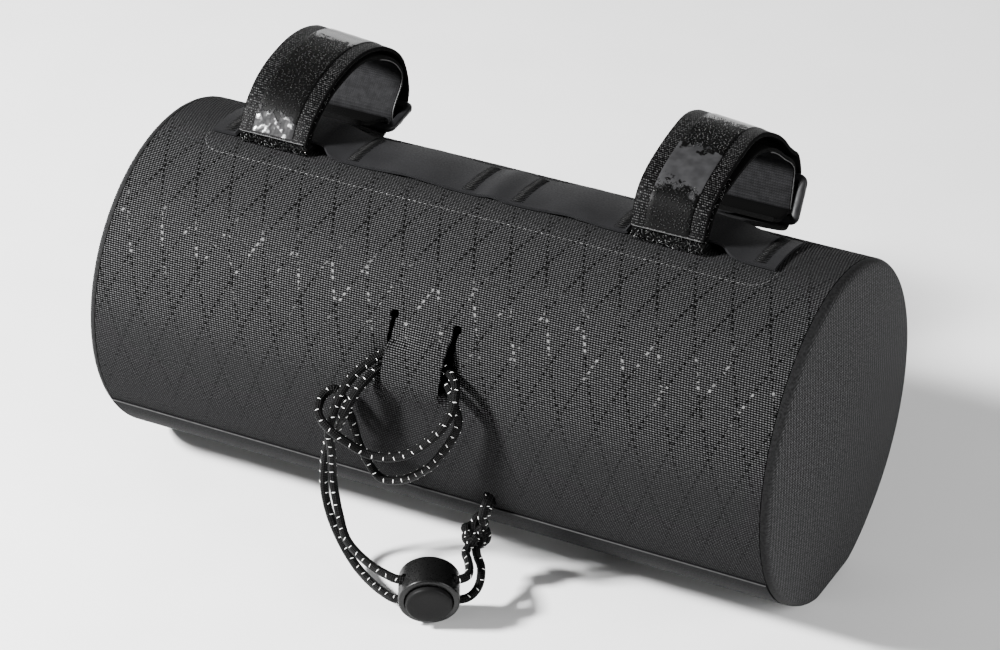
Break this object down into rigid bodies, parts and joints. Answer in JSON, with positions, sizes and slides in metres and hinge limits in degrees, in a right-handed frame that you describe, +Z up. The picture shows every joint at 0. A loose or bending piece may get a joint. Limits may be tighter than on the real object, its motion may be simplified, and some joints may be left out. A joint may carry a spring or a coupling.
{
  "type": "handlebar bag",
  "caption": "Cylindrical cloth handlebar bag with cinch straps that close round a bar on top, and a shock cord with a push-button cord lock on its front.",
  "frame": {"origin": "on the surface the bag rests on, under the bag's axis and midway between the slits", "axes": "+X along the bag's length, -Y to its front, where the cord is, and +Z up"},
  "size_m": [0.2636, 0.1678, 0.1476],
  "materials": {
    "laminate": "woven nylon laminate with a crossed thread grid, dark charcoal, matt with a faint sheen",
    "coated_cloth": "smooth coated cloth, dark grey, satin",
    "webbing": "woven strap with a loop pile face, black, matt",
    "hook_tape": "moulded hook tape, black, glossy where it is worn flat",
    "ring": "moulded acetal ring, black, satin gloss",
    "shock_cord": "braided elastic cord, black with white reflective flecks",
    "lock_plastic": "moulded plastic, black, satin"
  },
  "bodies": {
    "bag": {"main_panel": "laminate", "base_panel": "coated_cloth", "end_cap_left": "laminate", "end_cap_right": "laminate", "zip_closure": "coated_cloth", "slit_backing": "coated_cloth", "strap_panel": "coated_cloth", "strap_left": "webbing", "hook_tape_left": "hook_tape", "ring_left": "ring", "strap_right": "webbing", "hook_tape_right": "hook_tape", "ring_right": "ring", "cord_tail_a": "shock_cord", "cord_tail_b": "shock_cord", "cord_knot": "shock_cord", "cord_link_a": "shock_cord", "cord_link_b": "shock_cord", "cord_loop": "shock_cord", "cord_lock_barrel": "lock_plastic"},
    "lock_button": {"cord_lock_button": "lock_plastic"}
  },
  "joints": [
    {"name": "button_press", "type": "slide", "parent": "bag", "child": "lock_button", "axis": [-0.4494, 0.8645, 0.225], "range_m": [0, 0.0025], "stiffness_N_per_m": 800}
  ]
}
